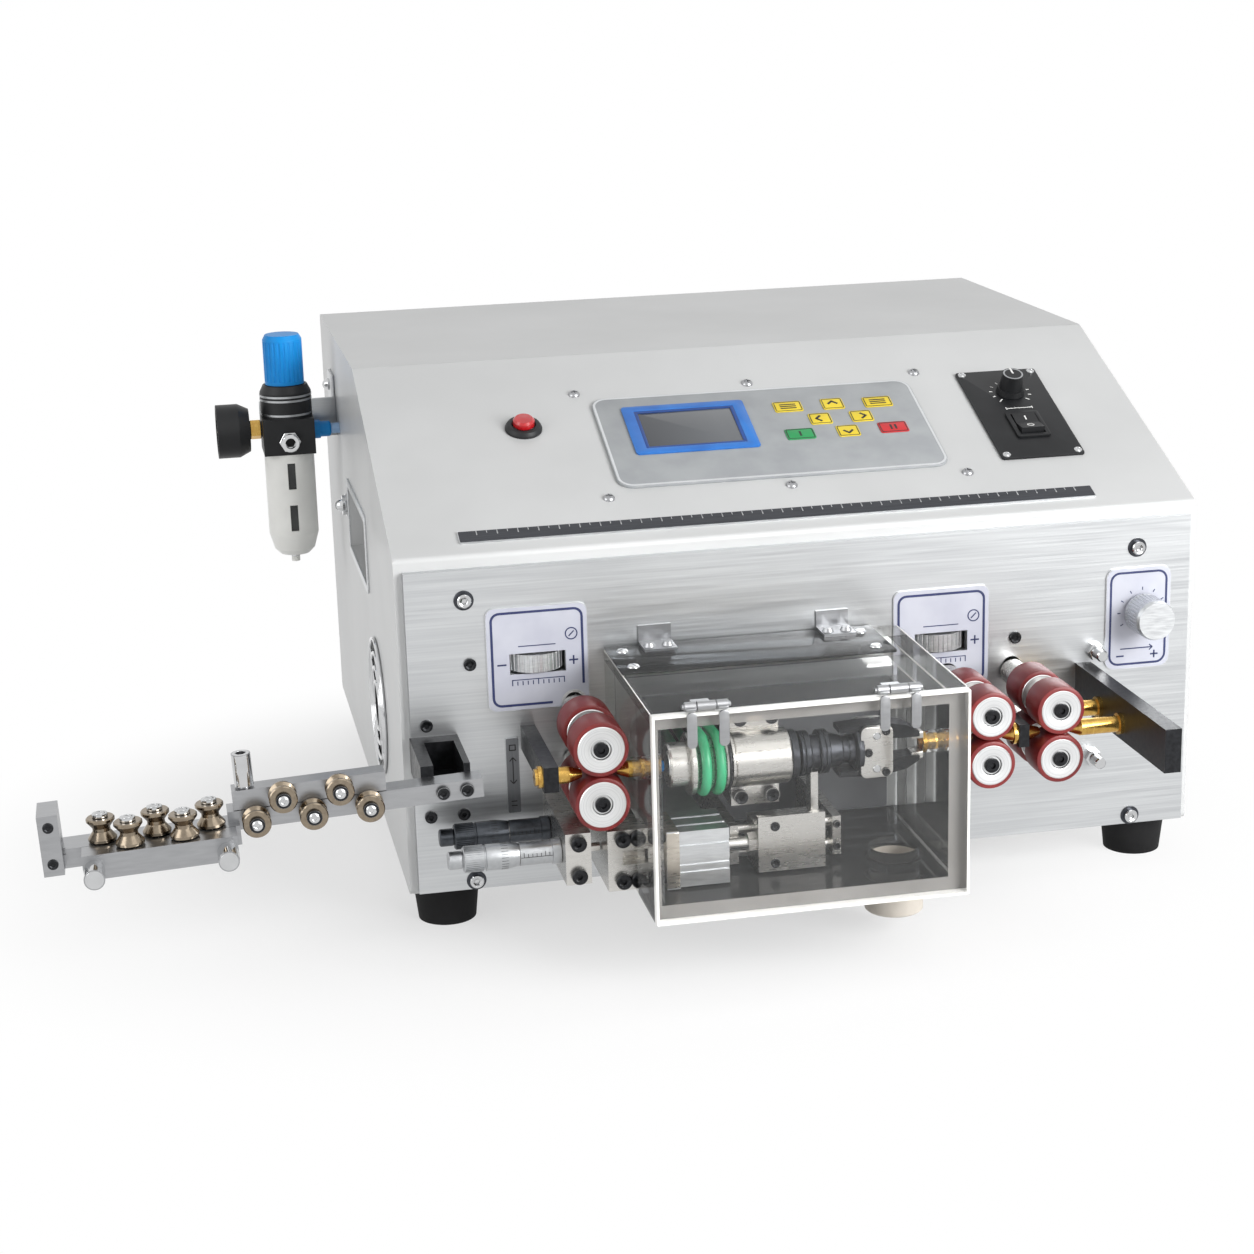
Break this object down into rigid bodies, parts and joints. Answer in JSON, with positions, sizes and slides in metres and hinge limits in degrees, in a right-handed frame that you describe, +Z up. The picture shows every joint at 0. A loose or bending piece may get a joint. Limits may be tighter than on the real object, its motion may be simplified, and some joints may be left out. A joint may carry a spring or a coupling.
{
  "type": "wire cutting and stripping machine",
  "caption": "Bench wire cutting and stripping machine with feed rollers, a rotary head under a clear cover, a wire straightener and an air regulator.",
  "frame": {"origin": "middle of the footprint, straightener arm included, on the floor under the feet", "axes": "+Z up, -Y towards the working front, +X along the wire from inlet to outlet"},
  "size_m": [0.5684, 0.4766, 0.256],
  "materials": {
    "casing_paint": "satin",
    "brushed_steel": "brushed",
    "machined_steel": "machined",
    "chrome": "polished",
    "aluminium": "turned",
    "polyurethane": "smooth",
    "rubber": "matte",
    "brass": "turned",
    "black_steel": "blackened",
    "black_plastic": "moulded",
    "acrylic": "clear",
    "belt": "smooth",
    "blue_plastic": "moulded",
    "white_plastic": "moulded",
    "red_plastic": "moulded",
    "film": "printed film",
    "bronze": "nickel plated",
    "board": "board"
  },
  "bodies": {
    "machine": {"base_plate": "machined_steel", "housing_shell": "casing_paint", "front_panel": "brushed_steel", "rubber_feet": "rubber", "panel_screws": "chrome", "console_plates": "film", "scale_plates": "film", "guide_holders": "black_steel", "guide_nozzles": "brass", "head_housing": "machined_steel", "drive_belts": "belt", "air_cylinder": "aluminium", "slide_frame": "machined_steel", "micrometer_stand": "machined_steel", "cover_walls": "acrylic", "cover_hinges": "chrome", "straightener_bar": "machined_steel", "regulator_body": "black_plastic", "bowl_guard": "white_plastic", "regulator_fittings": "blue_plastic", "cooling_fan": "black_plastic", "drive_frames": "aluminium", "drive_motors": "black_steel", "control_unit": "board"},
    "cover_door": {"cover_door": "acrylic"},
    "left_carriage": {"left_carriage": "aluminium"},
    "right_carriage": {"right_carriage": "aluminium"},
    "left_upper_roller": {"left_upper_roller": "polyurethane"},
    "left_lower_roller": {"left_lower_roller": "polyurethane"},
    "first_upper_roller": {"first_upper_roller": "polyurethane"},
    "first_lower_roller": {"first_lower_roller": "polyurethane"},
    "second_upper_roller": {"second_upper_roller": "polyurethane"},
    "second_lower_roller": {"second_lower_roller": "polyurethane"},
    "push_button": {"push_button": "red_plastic"},
    "speed_knob": {"speed_knob": "black_plastic"},
    "rocker_switch": {"rocker_switch": "black_plastic"},
    "pressure_knob": {"pressure_knob": "chrome"},
    "left_thumbwheel": {"left_thumbwheel": "aluminium"},
    "right_thumbwheel": {"right_thumbwheel": "aluminium"},
    "front_thimble": {"front_thimble": "chrome"},
    "rear_thimble": {"rear_thimble": "machined_steel"},
    "head_rotor": {"head_rotor": "machined_steel"},
    "clamp_collar": {"clamp_collar": "black_steel"},
    "upper_jaw": {"upper_jaw": "black_steel"},
    "lower_jaw": {"lower_jaw": "black_steel"},
    "fork_slide": {"fork_slide": "machined_steel"},
    "side_adjuster": {"side_adjuster": "machined_steel"},
    "top_adjuster": {"top_adjuster": "machined_steel"},
    "side_guide_1": {"side_guide_1": "bronze"},
    "side_guide_2": {"side_guide_2": "bronze"},
    "side_guide_3": {"side_guide_3": "bronze"},
    "side_guide_4": {"side_guide_4": "bronze"},
    "side_guide_5": {"side_guide_5": "bronze"},
    "top_guide_1": {"top_guide_1": "bronze"},
    "top_guide_2": {"top_guide_2": "bronze"},
    "top_guide_3": {"top_guide_3": "bronze"},
    "top_guide_4": {"top_guide_4": "bronze"},
    "top_guide_5": {"top_guide_5": "bronze"},
    "regulator_knob": {"regulator_knob": "blue_plastic"},
    "fan_rotor": {"fan_rotor": "black_plastic"}
  },
  "joints": [
    {"name": "door_hinge", "type": "hinge", "parent": "machine", "child": "cover_door", "pos_m": [0.08422, -0.23422, 0.14005], "axis": [-1, 0, 0], "range_deg": [0, 100]},
    {"name": "left_thumbwheel_turn", "type": "hinge", "parent": "machine", "child": "left_thumbwheel", "pos_m": [-0.04978, -0.11572, 0.134], "axis": [0, 0, 1], "range_deg": [-60, 1140]},
    {"name": "left_carriage_lift", "type": "slide", "parent": "machine", "child": "left_carriage", "axis": [0, 0, 1], "range_m": [0, 0.003]},
    {"name": "right_thumbwheel_turn", "type": "hinge", "parent": "machine", "child": "right_thumbwheel", "pos_m": [0.15072, -0.11572, 0.127], "axis": [0, 0, 1], "range_deg": [-60, 1140]},
    {"name": "right_carriage_lift", "type": "slide", "parent": "machine", "child": "right_carriage", "axis": [0, 0, 1], "range_m": [0, 0.003]},
    {"name": "left_lower_roller_turn", "type": "hinge", "parent": "machine", "child": "left_lower_roller", "pos_m": [-0.03278, -0.12172, 0.0838], "axis": [0, 1, 0], "continuous": true},
    {"name": "left_upper_roller_turn", "type": "hinge", "parent": "left_carriage", "child": "left_upper_roller", "pos_m": [-0.03278, -0.12172, 0.1102], "axis": [0, 1, 0], "continuous": true},
    {"name": "first_lower_roller_turn", "type": "hinge", "parent": "machine", "child": "first_lower_roller", "pos_m": [0.15372, -0.12172, 0.08505], "axis": [0, 1, 0], "continuous": true},
    {"name": "first_upper_roller_turn", "type": "hinge", "parent": "right_carriage", "child": "first_upper_roller", "pos_m": [0.15372, -0.12172, 0.10895], "axis": [0, 1, 0], "continuous": true},
    {"name": "second_lower_roller_turn", "type": "hinge", "parent": "machine", "child": "second_lower_roller", "pos_m": [0.18772, -0.12172, 0.08505], "axis": [0, 1, 0], "continuous": true},
    {"name": "second_upper_roller_turn", "type": "hinge", "parent": "right_carriage", "child": "second_upper_roller", "pos_m": [0.18772, -0.12172, 0.10895], "axis": [0, 1, 0], "continuous": true},
    {"name": "push_button_press", "type": "slide", "parent": "machine", "child": "push_button", "axis": [0, 0.3759, -0.9267], "range_m": [0, 0.0025], "stiffness_N_per_m": 400},
    {"name": "speed_knob_turn", "type": "hinge", "parent": "machine", "child": "speed_knob", "pos_m": [0.22222, -0.0235, 0.22735], "axis": [0, -0.3759, 0.9267], "range_deg": [-140, 140]},
    {"name": "rocker_tilt", "type": "hinge", "parent": "machine", "child": "rocker_switch", "pos_m": [0.22122, -0.05315, 0.21532], "axis": [1, 0, 0], "range_deg": [0, 14]},
    {"name": "pressure_knob_turn", "type": "hinge", "parent": "machine", "child": "pressure_knob", "pos_m": [0.25522, -0.12623, 0.134], "axis": [0, -1, 0], "range_deg": [-135, 135]},
    {"name": "front_thimble_turn", "type": "hinge", "parent": "machine", "child": "front_thimble", "pos_m": [-0.09578, -0.17372, 0.056], "axis": [-1, 0, 0], "range_deg": [-720, 720]},
    {"name": "rear_thimble_turn", "type": "hinge", "parent": "machine", "child": "rear_thimble", "pos_m": [-0.09578, -0.14272, 0.056], "axis": [-1, 0, 0], "range_deg": [-720, 720]},
    {"name": "head_spin", "type": "hinge", "parent": "machine", "child": "head_rotor", "pos_m": [0.08422, -0.18573, 0.097], "axis": [1, 0, 0], "continuous": true},
    {"name": "fork_travel", "type": "slide", "parent": "machine", "child": "fork_slide", "axis": [1, 0, 0], "range_m": [0, 0.006]},
    {"name": "collar_travel", "type": "slide", "parent": "head_rotor", "child": "clamp_collar", "axis": [1, 0, 0], "range_m": [0, 0.006]},
    {"name": "upper_jaw_close", "type": "hinge", "parent": "head_rotor", "child": "upper_jaw", "pos_m": [0.09722, -0.18573, 0.105], "axis": [0, 1, 0], "range_deg": [0, 5]},
    {"name": "lower_jaw_close", "type": "hinge", "parent": "head_rotor", "child": "lower_jaw", "pos_m": [0.09722, -0.18573, 0.089], "axis": [0, -1, 0], "range_deg": [0, 5]},
    {"name": "side_adjuster_slide", "type": "slide", "parent": "machine", "child": "side_adjuster", "axis": [0, -1, 0], "range_m": [0, 0.004]},
    {"name": "top_adjuster_lift", "type": "slide", "parent": "machine", "child": "top_adjuster", "axis": [-0.0436, 0, 0.999], "range_m": [0, 0.003]},
    {"name": "side_guide_1_turn", "type": "hinge", "parent": "machine", "child": "side_guide_1", "pos_m": [-0.25714, -0.18083, 0.09039], "axis": [-0.0436, 0, 0.999], "continuous": true},
    {"name": "side_guide_2_turn", "type": "hinge", "parent": "side_adjuster", "child": "side_guide_2", "pos_m": [-0.24515, -0.19062, 0.09091], "axis": [-0.0436, 0, 0.999], "continuous": true},
    {"name": "side_guide_3_turn", "type": "hinge", "parent": "machine", "child": "side_guide_3", "pos_m": [-0.23316, -0.18083, 0.09144], "axis": [-0.0436, 0, 0.999], "continuous": true},
    {"name": "side_guide_4_turn", "type": "hinge", "parent": "side_adjuster", "child": "side_guide_4", "pos_m": [-0.22117, -0.19062, 0.09196], "axis": [-0.0436, 0, 0.999], "continuous": true},
    {"name": "side_guide_5_turn", "type": "hinge", "parent": "machine", "child": "side_guide_5", "pos_m": [-0.20918, -0.18083, 0.09248], "axis": [-0.0436, 0, 0.999], "continuous": true},
    {"name": "top_guide_1_turn", "type": "hinge", "parent": "machine", "child": "top_guide_1", "pos_m": [-0.18899, -0.18573, 0.08846], "axis": [0, 1, 0], "continuous": true},
    {"name": "top_guide_2_turn", "type": "hinge", "parent": "top_adjuster", "child": "top_guide_2", "pos_m": [-0.17668, -0.18573, 0.09881], "axis": [0, 1, 0], "continuous": true},
    {"name": "top_guide_3_turn", "type": "hinge", "parent": "machine", "child": "top_guide_3", "pos_m": [-0.16351, -0.18573, 0.08958], "axis": [0, 1, 0], "continuous": true},
    {"name": "top_guide_4_turn", "type": "hinge", "parent": "top_adjuster", "child": "top_guide_4", "pos_m": [-0.1512, -0.18573, 0.09992], "axis": [0, 1, 0], "continuous": true},
    {"name": "top_guide_5_turn", "type": "hinge", "parent": "machine", "child": "top_guide_5", "pos_m": [-0.13803, -0.18573, 0.09069], "axis": [0, 1, 0], "continuous": true},
    {"name": "regulator_knob_turn", "type": "hinge", "parent": "machine", "child": "regulator_knob", "pos_m": [-0.14478, 0.14228, 0.23], "axis": [0, 0, 1], "range_deg": [-360, 360]},
    {"name": "fan_spin", "type": "hinge", "parent": "machine", "child": "fan_rotor", "pos_m": [-0.11578, -0.01372, 0.084], "axis": [1, 0, 0], "continuous": true}
  ],
  "couplings": [
    {"joint": "left_thumbwheel_turn", "follows": "left_carriage_lift", "rad_per_m": 6283.2},
    {"joint": "right_thumbwheel_turn", "follows": "right_carriage_lift", "rad_per_m": 6283.2},
    {"joint": "left_upper_roller_turn", "follows": "left_lower_roller_turn", "ratio": -1},
    {"joint": "first_upper_roller_turn", "follows": "first_lower_roller_turn", "ratio": -1},
    {"joint": "second_lower_roller_turn", "follows": "first_lower_roller_turn", "ratio": 1},
    {"joint": "second_upper_roller_turn", "follows": "first_lower_roller_turn", "ratio": -1},
    {"joint": "collar_travel", "follows": "fork_travel", "ratio": 1},
    {"joint": "upper_jaw_close", "follows": "fork_travel", "rad_per_m": 14.54},
    {"joint": "lower_jaw_close", "follows": "fork_travel", "rad_per_m": 14.54}
  ]
}
